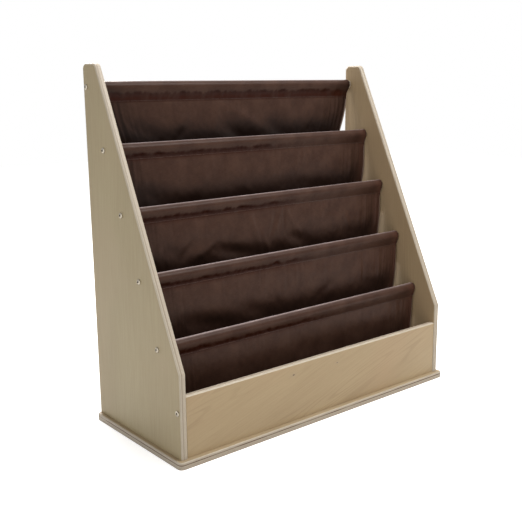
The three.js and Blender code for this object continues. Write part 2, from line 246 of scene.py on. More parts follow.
# The face veneer: flame figure, fine streaks, pores, slow clouds of tone, warm patches and knots
def birchFace(tree, point, grain, board):
    flame = grainNoise(tree, grain, birch["flame"], detail=1.2, distortion=0.12)
    rings = calculate(tree, "SINE", times(tree, flame, board["rings"]))
    fading = ramp(tree, grainNoise(tree, grain, birch["flameFade"]), 0.4, 0.62)
    figure = times(tree, ramp(tree, rings, 0.4, 1.0), fading)
    figure = times(tree, figure, birch["flameShade"] * board["figure"])
    streaks = grainNoise(tree, grain, birch["streaks"], detail=3.0, roughness=0.6)
    pores = ramp(tree, grainNoise(tree, grain, birch["pores"], detail=1.0), 0.62, 0.72)
    clouds = grainNoise(tree, grain, birch["clouds"])
    shade = plus(tree, ramp(tree, streaks, 0.3, 0.75, 0.0, birch["streakShade"]), figure)
    shade = plus(tree, shade, ramp(tree, clouds, 0.3, 0.7, 0.0, birch["cloudShade"]))
    shade = calculate(tree, "MULTIPLY_ADD", pores, birch["poreShade"], shade)
    face = mixColours(tree, shade, board["light"], board["dark"])
    warmPatches = grainNoise(tree, grain, birch["warmPatches"])
    warmth = ramp(tree, warmPatches, 0.42, 0.66, 0.0, birch["warmShade"])
    face = mixColours(tree, warmth, face, board["warm"])
    for centre, radius in board["knots"]:
        face = addKnot(tree, point, face, centre, radius)
    return face, streaks, pores


# A dark spot that is longer along X, in a soft darker ring
def addKnot(tree, point, face, centre, radius):
    offset = addNode(tree, "ShaderNodeVectorMath", {0: point, 1: centre}, operation="SUBTRACT")
    offset = addNode(tree, "ShaderNodeVectorMath", {0: offset, 1: birch["knotStretch"]}, operation="MULTIPLY")
    reach = distanceOf(tree, offset)
    face = mixColours(tree, ramp(tree, reach, radius * 0.25, radius, 0.95, 0.0), face, birch["knot"])
    return mixColours(tree, ramp(tree, reach, radius, radius * 3.4, 0.22, 0.0), face, birch["plyDark"])


# The edges show the layers, every second one across the grain, with glue lines between them
def birchEdge(tree, point, depth, board):
    layer = times(tree, depth, birch["layers"])
    number = calculate(tree, "FLOOR", layer)
    crossPly = calculate(tree, "MODULO", number, 2.0)
    seeded = plus(tree, number, board["seed"])
    tone = addNode(tree, "ShaderNodeTexWhiteNoise", {"W": seeded}, noise_dimensions="1D")
    layerTone = times(tree, tone, birch["layerShade"])
    fibres = grainNoise(tree, point, birch["fibres"], detail=1.0)
    shade = calculate(tree, "MULTIPLY_ADD", crossPly, birch["crossPlyShade"], layerTone)
    shade = plus(tree, shade, ramp(tree, fibres, 0.35, 0.8, 0.0, birch["fibreShade"]))
    shade = plus(tree, shade, board["edgeShade"])
    edge = mixColours(tree, shade, birch["plyLight"], birch["plyDark"])
    toGlue = calculate(tree, "PINGPONG", layer, 0.5)
    edge = mixColours(tree, ramp(tree, toGlue, 0.0, 0.09, birch["glueShade"], 0.0), edge, birch["glue"])

    # One layer is much darker in patches, and the base board has a painted contact shadow along its foot
    fromDark = calculate(tree, "ABSOLUTE", calculate(tree, "SUBTRACT", depth, board["darkPly"]))
    line = ramp(tree, fromDark, 0.05, 0.08, board["plyLine"], 0.0)
    patches = ramp(tree, grainNoise(tree, point, birch["darkPatches"]), 0.3, 0.6, 0.55, 1.0)
    edge = mixColours(tree, times(tree, line, patches), edge, birch["glue"])
    contactShadow = ramp(tree, depth, 0.02, 0.12, board["paintedFootShade"], 0.0)
    return mixColours(tree, contactShadow, edge, birch["glue"])


def birchPly(name, board):
    material, tree, shader = startMaterial("birch ply, " + name)
    low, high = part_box(name)
    through, along = board["through"], board["along"]
    beside = 3 - through - along
    point = coordinate(tree, "Object")
    places = separate(tree, point)
    depth = ramp(tree, places[through], low[through], high[through], shape="LINEAR")

    # Grain coordinates: along the grain, across it, and one place for each face
    across = calculate(tree, "MULTIPLY_ADD", places[along], board["tilt"], places[beside])
    farFace = calculate(tree, "GREATER_THAN", depth, 0.5)
    side = calculate(tree, "MULTIPLY_ADD", farFace, birch["faceStep"], board["seed"])
    grain = addNode(tree, "ShaderNodeCombineXYZ", {0: places[along], 1: across, 2: side})
    face, streaks, pores = birchFace(tree, point, grain, board)
    edge = birchEdge(tree, point, depth, board)
    onFace = calculate(tree, "ABSOLUTE", separate(tree, coordinate(tree, "Normal"))[through])
    finished = mixColours(tree, ramp(tree, onFace, 0.86, 0.99), edge, face)

    # A painted highlight: the rounded edges, where a face turns into an edge, are painted a little paler in
    # patches
    paintedHighlight = times(tree, ramp(tree, onFace, 0.15, 0.5), ramp(tree, onFace, 0.99, 0.8))
    patchy = ramp(tree, grainNoise(tree, point, birch["highlightPatches"]), 0.35, 0.7, 0.15, 0.5)
    finished = mixColours(tree, times(tree, paintedHighlight, patchy), finished, birch["plyLight"])

    smoothest = birch["roughness"] - birch["glossSpread"] / 2
    gloss = calculate(tree, "MULTIPLY_ADD", streaks, birch["glossSpread"], smoothest)
    relief = calculate(tree, "MULTIPLY_ADD", pores, -0.6, times(tree, streaks, 0.5))
    bump = bumpFrom(tree, relief, birch["reliefDepth"], 0.55)
    setInputs(tree, shader, {"Base Color": finished, "Roughness": gloss, "Normal": bump, **birch["finish"]})
    return material


# The rods are sanded and bare
dowel = {
    "streaks": (14.0, 420.0, 420.0),
    "clouds": (5.0, 40.0, 40.0),
    "streakShade": 0.6,
    "cloudShade": 0.4,
    "reliefDepth": 0.1 * mm,
    "finish": {"Roughness": 0.6},
}


def birchDowel():
    material, tree, shader = startMaterial("birch dowel")
    point = coordinate(tree, "Object")
    streaks = grainNoise(tree, point, dowel["streaks"], detail=3.0, roughness=0.6)
    clouds = grainNoise(tree, point, dowel["clouds"])
    shade = plus(tree, ramp(tree, streaks, 0.3, 0.75, 0.0, dowel["streakShade"]),
                 ramp(tree, clouds, 0.3, 0.7, 0.0, dowel["cloudShade"]))
    tone = mixColours(tree, shade, birch["plyLight"], birch["plyDark"])
    bump = bumpFrom(tree, streaks, dowel["reliefDepth"], 0.6)
    setInputs(tree, shader, {"Base Color": tone, "Normal": bump, **dowel["finish"]})
    return material


# Screws

metals = {
    # each metal's tint, and a darker tone where it is worn
    "bright steel": {"tint": colour(158, 150, 136), "wornAndHighlight": colour(104, 97, 86), "roughness": 0.3},
    "zinc plate": {"tint": colour(196, 193, 178), "wornAndHighlight": colour(142, 138, 126), "roughness": 0.4},
}
screwWearAndShade = {
    "smudges": (260.0, 260.0, 260.0),
    "scratches": (900.0, 5200.0, 900.0),
    "wornShare": 0.55,
    "glossSpread": 0.22,
    "polish": 0.08,  # how far the smoothest places lie below the metal's roughness
    "scratchDepth": 0.03 * mm,
    # painted shade deep in the sockets: its tone, share and reach
    "paintedSocketShade": colour(48, 42, 36),
    "socketShadeShare": 0.9,
    "socketReach": 4 * mm,
}


def screwMetal(name):
    metal = metals[name]
    material, tree, shader = startMaterial(name)
    point = coordinate(tree, "Object")
    smudges = grainNoise(tree, point, screwWearAndShade["smudges"])
    scratches = grainNoise(tree, point, screwWearAndShade["scratches"], roughness=0.7)
    wearAndHighlight = ramp(tree, smudges, 0.45, 0.75, 0.0, screwWearAndShade["wornShare"])
    tone = mixColours(tree, wearAndHighlight, metal["tint"], metal["wornAndHighlight"])
    # Painted shade: darker deep in the socket, where little stands open around the surface
    paintedSocketShade = ramp(tree, openness(tree, screwWearAndShade["socketReach"]), 0.35, 0.8, screwWearAndShade["socketShadeShare"], 0.0)
    tone = mixColours(tree, paintedSocketShade, tone, screwWearAndShade["paintedSocketShade"])
    smoothest = metal["roughness"] - screwWearAndShade["polish"]
    gloss = calculate(tree, "MULTIPLY_ADD", scratches, screwWearAndShade["glossSpread"], smoothest)
    bump = bumpFrom(tree, scratches, screwWearAndShade["scratchDepth"], 0.5)
    setInputs(tree, shader, {"Base Color": tone, "Roughness": gloss, "Normal": bump, "Metallic": 1.0})
    return material


facets = {
    "weld": 0.01 * mm,
    "sharpFrom": 36,  # degrees
}


# Gives a node of the frame its finish. Its facets are welded and shaded smooth round soft edges.
def dress(name, material):
    node = frame["nodes"][name]
    node.data.materials[0] = material
    if "custom_normal" in node.data.attributes:
        node.data.attributes.remove(node.data.attributes["custom_normal"])
    node.data.shade_smooth()
    weld = node.modifiers.new("weld", "WELD")
    weld.merge_threshold = facets["weld"]
    split = node.modifiers.new("sharp edges", "EDGE_SPLIT")
    split.split_angle = math.radians(facets["sharpFrom"])
    node.modifiers.new("flat faces", "WEIGHTED_NORMAL").keep_sharp = True


def dressFrame():
    for name, board in boards.items():
        dress(name, birchPly(name, {**plainBoard, **board}))
    bareBirch = birchDowel()
    steel = screwMetal("bright steel")
    zinc = screwMetal("zinc plate")
    for name in frame["nodes"]:
        if "rod_screw" in name or "front_screw" in name:
            dress(name, steel)
        elif "base_screw" in name:
            dress(name, zinc)
        elif name.startswith("rod") or name == "lower_rod":
            dress(name, bareBirch)


dressFrame()
print("boards, rods and screws dressed")


# Slings. A sling's cloth starts with an end turned in behind a rod, goes over the rod as a sewn
# casing, hangs as a pocket and comes up behind the next rod. The last one ends round the lower rod.

sling = {
    "thickness": 1.1 * mm,
    "hemThickness": 2.4 * mm,
    "hemWidth": 9 * mm,
    "sideGap": 1.5 * mm,  # from the cloth to the side panel
    "standOff": 0.3 * mm,  # between layers, and from the cloth to its rod
    "lowerCasing": 26 * mm,  # from the middle of the lower rod up to its stitching
    "turnedEnd": 10 * mm,
    "seamForward": 4.5 * mm,  # the stitching hangs this far in front of the middle of its rod
    "pocketDrop": 100 * mm,  # from a pocket's front rod to the bottom of its fold
    "columns": 75,  # of the hanging part, each split in four when it is refined
    "hangingPitch": 12 * mm,  # and its rows, each split in two
    "casingPitch": 3 * mm,
    "arcPoints": 40,
    "curvePoints": 200,
    "halvings": 60,
    "drawRun": 150 * mm,  # down from a seam and up to the next, over which the sides draw in
    "drawReturn": 80 * mm,
    # What one sling may have its own value for
    "casing": 40 * mm,  # from the top of a casing to its stitching
    "draws": (3 * mm, 4 * mm, 14 * mm),  # of the sides, on the rod, at the stitching and in the pocket
    "paintedEndLightShare": 0.7,  # share of the painted lighter, warmer tone at the side edges
    "endCreaseShade": 0.2,  # share of the painted crease shade that stays there
    "puckersAtEnd": 0.25,  # share of the puckers that stays at the right edge
    "bandPast": 7.5 * mm,  # from the stitching down to the end of its band of painted shade
    "paintedHighlight": 1.0,  # share of the painted highlight on the casing's top
}

# paintedCreaseShade gives the openness where the painted shade of a crease is darkest, where it starts,
# and how dark it gets. Past the place puckersFade, measured from the middle, only the share puckersStay
# of the puckers is left.
ownValues = {
    1: {"paintedCreaseShade": (0.6, 0.93, 0.94), "puckersStay": 0.8, "puckersFade": 330 * mm,
        "casing": 50 * mm, "draws": (8 * mm, 15 * mm, 53 * mm), "paintedEndLightShare": 0.2, "endCreaseShade": 0.8,
        "puckersAtEnd": 1.0, "bandPast": 3.75 * mm, "paintedHighlight": 0.4},
    2: {"paintedCreaseShade": (0.52, 0.88, 0.88), "puckersStay": 0.15, "puckersFade": -20 * mm},
    3: {"paintedCreaseShade": (0.44, 0.82, 0.82), "puckersStay": 0.12, "puckersFade": -40 * mm},
    4: {"paintedCreaseShade": (0.42, 0.8, 0.78), "puckersStay": 0.15, "puckersFade": -70 * mm},
    5: {"paintedCreaseShade": (0.3, 0.84, 0.5), "puckersStay": 0.15, "puckersFade": -60 * mm},
}
rodCount = len(ownValues)
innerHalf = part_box("side_panel_right")[0].x
clothHalf = innerHalf - sling["sideGap"]


def ofSling(number, key):
    return {**sling, **ownValues[number]}[key]


# Sling cloth

cloth = {
    "deep": colour(52, 33, 26),
    "lit": colour(76, 54, 44),
    # a painted lighter tone for the side edges
    "paintedEndLight": colour(92, 62, 51),
    "shadow": colour(20, 11, 8),
    # a painted shade for the band of puckers
    "tuck": colour(42, 12, 2),
    # a painted highlight for the tops of the casings
    "wornAndHighlight": colour(214, 197, 195),
    # a painted highlight for the side edges
    "paintedEdgeHighlight": colour(160, 141, 128),
    "thread": colour(58, 41, 34),
    "weave": 0.9 * mm,
    "slubs": (90.0, 1300.0, 1.0),  # stretches over the flat cloth
    "mottle": (17.0, 17.0, 1.0),
    "twist": (2200.0, 900.0, 900.0),
    "weaveShade": 0.12,
    "mottleShades": (0.25, 0.75),
    "slubShades": (-0.15, 0.2),
    "paintedTuckShade": 0.95,
    "highlightShades": (0.5, 0.85),
    "edgeHighlightShare": 0.8,
    "edgeHighlightWidth": 5 * mm,
    "endLightWidth": 40 * mm,
    "brightWidth": 60 * mm,
    "creaseReach": 160 * mm,
    "reliefDepth": 0.1 * mm,
    "finish": {"Roughness": 0.34, "Specular IOR Level": 0.08, "Sheen Weight": 0.07, "Sheen Roughness": 0.25,
               "Sheen Tint": colour(232, 208, 204)},
    "threadDepth": 0.08 * mm,
    "threadFinish": {"Roughness": 0.5},
}


# A number that makeSling gave each point of the cloth
def pointValue(tree, name):
    attribute = tree.nodes.new("ShaderNodeAttribute")
    attribute.attribute_name = name
    return attribute.outputs["Fac"]


def slingCloth(number):
    material, tree, shader = startMaterial(f"brown cloth, sling {number}")
    flat = coordinate(tree, "UV")
    x, down = separate(tree, flat)[:2]
    turns = 2 * math.pi / cloth["weave"]
    warp = calculate(tree, "SINE", times(tree, x, turns))
    weft = calculate(tree, "SINE", times(tree, down, turns))
    weave = times(tree, warp, weft)
    slubs = grainNoise(tree, flat, cloth["slubs"])
    mottle = grainNoise(tree, flat, cloth["mottle"], detail=3.0, roughness=0.6)
    mottled = ramp(tree, mottle, 0.3, 0.7, *cloth["mottleShades"])
    shade = calculate(tree, "MULTIPLY_ADD", weave, cloth["weaveShade"], mottled)
    shade = plus(tree, shade, ramp(tree, slubs, 0.3, 0.75, *cloth["slubShades"]))
    tone = mixColours(tree, shade, cloth["deep"], cloth["lit"])

    # Painted light: near its side edges the cloth is painted lighter and warmer
    fromMiddle = calculate(tree, "ABSOLUTE", x)
    endLightFrom = clothHalf - cloth["endLightWidth"]
    paintedEndLight = ramp(tree, fromMiddle, endLightFrom, clothHalf, 0.0, ofSling(number, "paintedEndLightShare"))
    tone = mixColours(tree, paintedEndLight, tone, cloth["paintedEndLight"])

    # Painted shade: creases and pocket depths are painted darker where little stands open, as is the band of
    # puckers
    darkAt, clearAt, darkest = ofSling(number, "paintedCreaseShade")
    depth = ramp(tree, openness(tree, cloth["creaseReach"]), darkAt, clearAt, darkest, 0.0, shape="LINEAR")
    brightFrom = clothHalf - cloth["brightWidth"]
    towardsEnd = ramp(tree, fromMiddle, brightFrom, clothHalf, 1.0, ofSling(number, "endCreaseShade"))
    tone = mixColours(tree, times(tree, depth, towardsEnd), tone, cloth["shadow"])
    tuck = times(tree, pointValue(tree, "paintedTuckBand"), cloth["paintedTuckShade"])
    tone = mixColours(tree, tuck, tone, cloth["tuck"])

    # A painted highlight runs along the top of its rod, and another down its side edges where it hangs
    threads = ramp(tree, slubs, 0.25, 0.7, *cloth["highlightShades"])
    wearAndHighlight = times(tree, pointValue(tree, "paintedHighlight"), threads)
    tone = mixColours(tree, wearAndHighlight, tone, cloth["wornAndHighlight"])
    paleFrom = clothHalf - cloth["edgeHighlightWidth"]
    paleAt = clothHalf - cloth["edgeHighlightWidth"] / 3
    edge = ramp(tree, fromMiddle, paleFrom, paleAt, 0.0, cloth["edgeHighlightShare"])
    edge = times(tree, edge, pointValue(tree, "hanging"))
    tone = mixColours(tree, edge, tone, cloth["paintedEdgeHighlight"])
    relief = calculate(tree, "MULTIPLY_ADD", slubs, 0.8, times(tree, weave, 0.5))
    bump = bumpFrom(tree, relief, cloth["reliefDepth"], 0.5)
    setInputs(tree, shader, {"Base Color": tone, "Normal": bump, **cloth["finish"]})
    return material


def threadMaterial():
    material, tree, shader = startMaterial("brown thread")
    twist = grainNoise(tree, coordinate(tree, "Object"), cloth["twist"], detail=1.0)
    tone = mixColours(tree, twist, cloth["thread"], cloth["lit"])
    bump = bumpFrom(tree, twist, cloth["threadDepth"])
    setInputs(tree, shader, {"Base Color": tone, "Normal": bump, **cloth["threadFinish"]})
    return material


# The paths of the cloth, as lines of (Y, Z) points

def rodLine(name):
    low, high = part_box(name)
    middle = (low + high) / 2
    return middle.y, middle.z, (high.z - low.z) / 2


# Eases from 0 to 1 while the share runs from 0 to 1
def smooth(share):
    held = np.clip(share, 0, 1)
    return held * held * (3 - 2 * held)


# Evenly spaced points along a line of (Y, Z) points
def resample(points, pitch):
    points = np.array(points)
    runs = runAlong(points)
    count = max(2, round(runs[-1] / pitch) + 1)
    places = np.linspace(0, runs[-1], count)
    return np.column_stack([np.interp(places, runs, points[:, k]) for k in (0, 1)])


def runAlong(points):
    return np.concatenate([[0], np.cumsum(np.linalg.norm(np.diff(points, axis=0), axis=1))])


# From the stitching behind a rod, over the rod and down to the stitching in front. up is 1 where the
# casing hangs below its rod, and -1 where it stands on the lower rod. forward is how far the stitching
# stands in front of the middle of the rod.
def casingPath(rod, depth, up, forward=0.0):
    y, z, radius = rod
    clear = math.acos(radius / math.hypot(depth, forward))
    swing = math.atan(forward / depth)
    outside = radius + sling["standOff"] + sling["thickness"] / 2
    turns = np.linspace(clear - swing - math.pi / 2, 1.5 * math.pi - swing - clear, sling["arcPoints"])
    arc = [(y + outside * math.cos(turn), z + up * outside * math.sin(turn)) for turn in turns]
    layer = sling["thickness"] + sling["standOff"]
    return [(y - forward, z - up * depth), *arc, (y - forward - layer, z - up * depth)]


# Cloth that hangs slack between two points follows a catenary, whose size is found by halving.
def pocketPath(start, end, bottom):
    span = start[0] - end[0]
    drops = (start[1] - bottom, end[1] - bottom)
    small, large = span * 1e-4, span
    for _ in range(sling["halvings"]):
        size = (small + large) / 2
        reaches = [size * math.acosh(1 + drop / size) for drop in drops]
        small, large = (size, large) if sum(reaches) < span else (small, size)
    places = np.linspace(-reaches[0], reaches[1], sling["curvePoints"])
    return [(start[0] - (x + reaches[0]), bottom + size * (math.cosh(x / size) - 1)) for x in places]


# From the middle of a rod down to the stitching of its casing
def stitchDepth(number):
    return ofSling(number, "casing") - rodLine(f"rod_{number}")[2] - sling["thickness"]


# The middle line of a sling's cloth: the sewn part and the row of its stitching behind the rod, the
# hanging part, and the tail of the last sling
def slingPath(number):
    rod = rodLine(f"rod_{number}")
    depth = stitchDepth(number)
    pitch = sling["casingPitch"]
    seam = (rod[0] - sling["seamForward"], rod[1] - depth)
    turned = resample([(seam[0], seam[1] - sling["turnedEnd"]), seam], pitch)
    casing = resample(casingPath(rod, depth, 1, sling["seamForward"]), pitch)
    start = casing[-1]
    layer = sling["thickness"] + sling["standOff"]
    if number < rodCount:
        after = rodLine(f"rod_{number + 1}")
        endHeight = after[1] - stitchDepth(number + 1) - sling["thickness"]
        end = (after[0] - sling["seamForward"] + layer, endHeight)
        pocket = pocketPath(start, end, after[1] - sling["pocketDrop"])
        falling = resample(pocket, sling["hangingPitch"])
        tail = np.zeros((0, 2))
    else:
        around = casingPath(rodLine("lower_rod"), sling["lowerCasing"], -1)[::-1]
        falling = resample([start, around[0]], sling["hangingPitch"])
        last = (around[-1][0], around[-1][1] + sling["turnedEnd"])
        tail = np.concatenate([resample(around, pitch)[1:], resample([around[-1], last], pitch)[1:]])
    return np.concatenate([turned, casing[1:]]), len(turned) - 1, falling, tail


# How far the sides are drawn in at each row
def sideDraw(number, heights, runs, seamRun, endRun):
    onRod, atSeam, inPocket = ofSling(number, "draws")
    belowRod = rodLine(f"rod_{number}")[1] - heights
    sewnDraw = onRod + (atSeam - onRod) * smooth(belowRod / stitchDepth(number))
    down, left = runs - seamRun, endRun - runs
    back = left / sling["drawReturn"]
    pocketShare = smooth(np.minimum(down / sling["drawRun"], back))
    hangingDraw = atSeam * smooth(back) + (inPocket - atSeam) * pocketShare
    return np.where((down > 0) & (left >= 0), hangingDraw, np.where(left < 0, 0, sewnDraw))


# Points between the rows of a grid on a smooth curve through them
def refined(grid):
    padded = np.concatenate([2 * grid[:1] - grid[1:2], grid, 2 * grid[-1:] - grid[-2:-1]])
    between = (9 * (padded[1:-2] + padded[2:-1]) - (padded[:-3] + padded[3:])) / 16
    fine = np.empty((2 * len(grid) - 1, *grid.shape[1:]))
    fine[::2], fine[1::2] = grid, between
    return fine


# Twice as many rows and four times as many columns
def refinedHanging(grid):
    across = refined(refined(grid.swapaxes(0, 1))).swapaxes(0, 1)
    return refined(across)


# A grid of points from rows of (Y, Z), with half of each row's width
def spread(rows, halves, count):
    grid = np.empty((len(rows), count, 3))
    grid[..., 0] = halves[:, None] * np.linspace(-1, 1, count)
    grid[..., 1:] = rows[:, None, :]
    return grid


def gridMesh(name, grid, uv=None):
    rowCount, columnCount = grid.shape[:2]
    first = (np.arange(rowCount - 1)[:, None] * columnCount + np.arange(columnCount - 1)).ravel()
    faces = np.column_stack([first, first + columnCount, first + columnCount + 1, first + 1])
    mesh = bpy.data.meshes.new(name)
    mesh.from_pydata(grid.reshape(-1, 3).tolist(), [], faces.tolist())
    mesh.shade_smooth()
    if uv is not None:
        corners = np.zeros(len(mesh.loops), np.int32)
        mesh.loops.foreach_get("vertex_index", corners)
        layer = mesh.uv_layers.new(name="cloth")
        layer.data.foreach_set("uv", uv.reshape(-1, 2)[corners].astype(np.float32).ravel())
    return addObject(name, mesh)


# Normals on the side of the cloth that faces forward and up
def normalsOf(grid):
    down, across = np.gradient(grid, axis=0), np.gradient(grid, axis=1)
    normals = np.cross(down, across)
    return normals / np.linalg.norm(normals, axis=2, keepdims=True)


# Smooth seeded noise over a grid of places, about -1 to 1
def noiseOver(across, down, wideAcross, wideDown, seed):
    values = [noise.noise(Vector((x / wideAcross, s / wideDown, seed)))
              for x, s in zip(across.ravel(), down.ravel())]
    return np.array(values).reshape(across.shape) * 1.6


# The same, varying across the cloth alone
def noiseAcross(across, wide, seed):
    return noiseOver(across, 0 * across, wide, 1.0, seed)


seeds = {"wave": 1, "gathers": 2, "fineGathers": 4, "puckers": 5, "gatherPatches": 6, "belly": 7,
         "endWrinkles": 8, "finePuckers": 9, "strokes": 11, "uneven": 50, "askew": 70}


def seedOf(number, noiseName):
    return 10.0 * number + seeds[noiseName]


# Simulated hang of a pocket. Its cloth was cut a little too wide, and sewn in askew here and there,
# so it hangs in slanting folds.

hanging = {
    "frames": 26,
    "settings": {"quality": 6, "mass": 0.03, "tension_stiffness": 40.0, "compression_stiffness": 12.0,
                 "shear_stiffness": 6.0, "bending_stiffness": 0.05},
    "slackAcross": 0.02,
    "slackDown": 0.006,
    "unevenDown": 0.008,
    "askew": 9 * mm,
    "askewWidth": 170 * mm,
    "startWave": 2.5 * mm,
    "waveWidth": 110 * mm,
    "waveRun": 240 * mm,
    "waveSlant": 0.45,
    "waveEnd": 60 * mm,  # from a seam, over which the wave rises
    "mostMove": 12 * mm,
}


# Both ends of the grid are held, and the cut cloth is the rest shape of the simulation.
def hangPocket(number, grid, runs):
    piece = gridMesh(f"hanging_{number}", grid)
    rowCount, columnCount = grid.shape[:2]
    held = piece.vertex_groups.new(name="sewn")
    points = range(rowCount * columnCount)
    held.add([*points[:columnCount], *points[-columnCount:]], 1.0, "REPLACE")
    piece.shape_key_add(name="Basis")
    cut = piece.shape_key_add(name="cut")
    x, down = grid[..., 0], (runs - runs[0])[:, None] + 0 * grid[..., 0]
    uneven = noiseAcross(x, hanging["askewWidth"], seeds["uneven"] + number)
    askew = noiseAcross(x, hanging["askewWidth"], seeds["askew"] + number)
    flat = np.zeros_like(grid)
    flat[..., 0] = x * (1 + hanging["slackAcross"]) + hanging["askew"] * askew * down / down.max()
    flat[..., 2] = -down * (1 + hanging["slackDown"] + hanging["unevenDown"] * uneven)
    cut.data.foreach_set("co", flat.astype(np.float32).ravel())
    modifier = piece.modifiers.new("hang", "CLOTH")
    for setting, value in hanging["settings"].items():
        setattr(modifier.settings, setting, value)
    modifier.settings.vertex_group_mass = held.name
    modifier.settings.rest_shape_key = cut
    modifier.collision_settings.use_collision = False
    modifier.point_cache.frame_start = 1
    modifier.point_cache.frame_end = hanging["frames"]
    scene = bpy.context.scene
    for step in range(1, hanging["frames"] + 1):
        scene.frame_set(step)
    hung = piece.evaluated_get(bpy.context.evaluated_depsgraph_get())
    places = np.zeros(grid.size, np.float32)
    hung.data.vertices.foreach_get("co", places)
    scene.frame_set(1)
    bpy.data.objects.remove(piece)
    moved = places.reshape(grid.shape) - grid
    size = np.linalg.norm(moved, axis=2, keepdims=True)
    most = hanging["mostMove"]
    return grid + moved * np.where(size > most, most / np.maximum(size, 1e-9), 1.0)


# A mean that varies with noise, within limits
def varied(values, mean, spread, least=-math.inf, most=math.inf):
    return np.clip(mean + spread * values, least, most)


def bell(distance, width):
    return np.exp(-(distance / width) ** 2)


# The fine relief of a hanging wall: gathers that run down from the seam, pressed folds, a belly low in
# the pocket, wrinkles near the ends, and side edges that curl forward

wall = {
    "start": 5 * mm,  # from the seam
    "end": 20 * mm,  # before the next seam
    "gather": 0.8 * mm,
    "gatherVaries": (0.65, 0.6),  # mean and spread
    "gatherPatch": 70 * mm,
    "gathers": (13 * mm, 120 * mm),  # widths, and lengths down the cloth
    "fineGathers": (6.5 * mm, 60 * mm),
    "fineShare": 0.5,
    "gatherFade": 45 * mm,
    "foldStrength": 0.85,
    "foldStart": 14 * mm,
    "foldEnd": 40 * mm,
    "belly": 13 * mm,
    "bellyVaries": (0.8, 0.35),
    "bellyWave": 100 * mm,
    "bellyDown": 160 * mm,
    "bellyWidth": 52 * mm,
    "endWrinkle": 1.4 * mm,
    "endWrinkles": (8 * mm, 200 * mm),
    "endWrinkleReach": 75 * mm,
    "curl": 2.2 * mm,
    "curlWidth": 6 * mm,
    "curlFrom": 20 * mm,
    "curlRun": 60 * mm,
}

# The pressed folds, in millimetres: across from the middle, down from the seam, degrees that the lower
# end leans to the right, half length, half width, and how far they stand out
folds = {
    1: [(-205, 60, -50, 34, 15, 4.0), (-222, 92, -50, 30, 16, -4.0), (22, 52, 65, 75, 15, 4.5),
        (-10, 96, 64, 62, 22, -7.5), (-225, 24, -8, 30, 22, 1.6), (160, 90, 60, 50, 24, -7.0),
        (200, 44, 62, 60, 18, 3.0), (312, 96, 80, 40, 24, -5.0), (386, 45, 2, 60, 7, -1.0),
        (402, 45, 2, 60, 6, 0.8), (-330, 80, 70, 60, 22, -4.0), (-90, 62, -20, 50, 14, 2.4)],
    2: [(237, 34, 80, 90, 26, 3.0), (-141, 10, 10, 30, 24, 1.6), (177, 104, 86, 130, 24, -3.0),
        (362, 50, 2, 70, 6, -1.0), (339, 34, 3, 60, 5, 0.8), (384, 55, 2, 60, 7, 0.9),
        (402, 60, 2, 60, 7, -1.1), (-356, 92, 78, 70, 24, -5.0), (-60, 70, 40, 60, 18, 2.4),
        (-200, 80, -40, 50, 18, 2.0)],
    3: [(-257, 34, 80, 90, 22, 2.4), (-286, 84, -58, 38, 13, -4.5), (-236, 92, -62, 46, 12, 4.0),
        (-130, 108, 78, 80, 18, -8.0), (-62, 60, 22, 62, 11, 4.5), (-25, 96, 28, 40, 10, 4.0),
        (25, 42, -22, 42, 6, 2.4), (48, 36, 0, 40, 5, -2.4), (70, 38, 26, 46, 6, 2.6),
        (4, 56, -16, 44, 7, -2.4), (95, 62, 34, 40, 8, 2.0), (100, 98, 70, 48, 18, -6.5),
        (167, 42, 80, 80, 24, 2.6), (302, 68, 26, 36, 8, 3.0), (330, 104, 84, 90, 20, -2.5),
        (420, 60, 2, 70, 12, -3.0), (-348, 78, 60, 40, 18, -4.0)],
    4: [(-262, 40, 82, 110, 24, 2.0), (-290, 112, 80, 90, 26, -9.0), (-124, 104, 70, 60, 20, -5.0),
        (51, 30, 84, 130, 22, 2.4), (290, 56, 3, 46, 6, 2.4), (304, 60, 2, 46, 5, -2.0),
        (339, 104, 80, 90, 20, -2.5), (-30, 80, 50, 50, 16, 2.2), (150, 90, -60, 60, 16, -3.0),
        (372, 60, 3, 60, 8, 2.0)],
    5: [(248, 40, 84, 110, 24, 2.4), (357, 40, 2, 80, 8, -1.4), (380, 42, 2, 80, 5, 0.9),
        (392, 42, 1, 80, 5, -0.8), (404, 44, 1, 80, 5, 0.8), (414, 44, 1, 80, 5, -0.9),
        (426, 46, 1, 80, 5, 0.8), (-223, 50, 84, 110, 26, 1.6), (-60, 70, 60, 60, 20, 2.0),
        (60, 80, 80, 120, 24, -2.6)],
}


def foldLift(number, x, down):
    lift = np.zeros_like(x)
    for across, drop, lean, length, width, height in folds[number]:
        turn = math.radians(lean)
        beside, below = x - across * mm, down - drop * mm
        along = beside * math.sin(turn) + below * math.cos(turn)
        aside = beside * math.cos(turn) - below * math.sin(turn)
        lift += height * mm * np.exp(-(along / (length * mm)) ** 2 - (aside / (width * mm)) ** 2)
    return wall["foldStrength"] * lift * smooth(down / wall["foldStart"])


